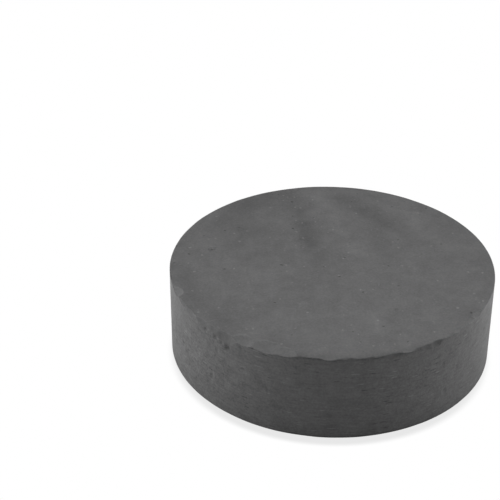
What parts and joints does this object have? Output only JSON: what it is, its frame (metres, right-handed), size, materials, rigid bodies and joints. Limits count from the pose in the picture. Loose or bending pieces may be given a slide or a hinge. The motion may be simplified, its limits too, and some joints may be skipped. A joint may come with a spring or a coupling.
{
  "type": "disc magnet",
  "caption": "Flat round ferrite magnet, a plain dark grey sintered disc with ground pole faces, a smooth wall and small chips on its worn edges.",
  "frame": {"origin": "centre of the lower pole face, the face that the disc rests on", "axes": "+Z along the disc's axis of symmetry and magnetising direction, out of the upper pole face; -Y is the front, where most of the chips are; +X to the right seen from the front"},
  "size_m": [0.025, 0.025, 0.007],
  "materials": {
    "ferrite": "matt sintered ferrite, dark grey, with a faint sheen at grazing angles"
  },
  "bodies": {
    "root": {"magnet_disc": "ferrite"}
  },
  "joints": []
}
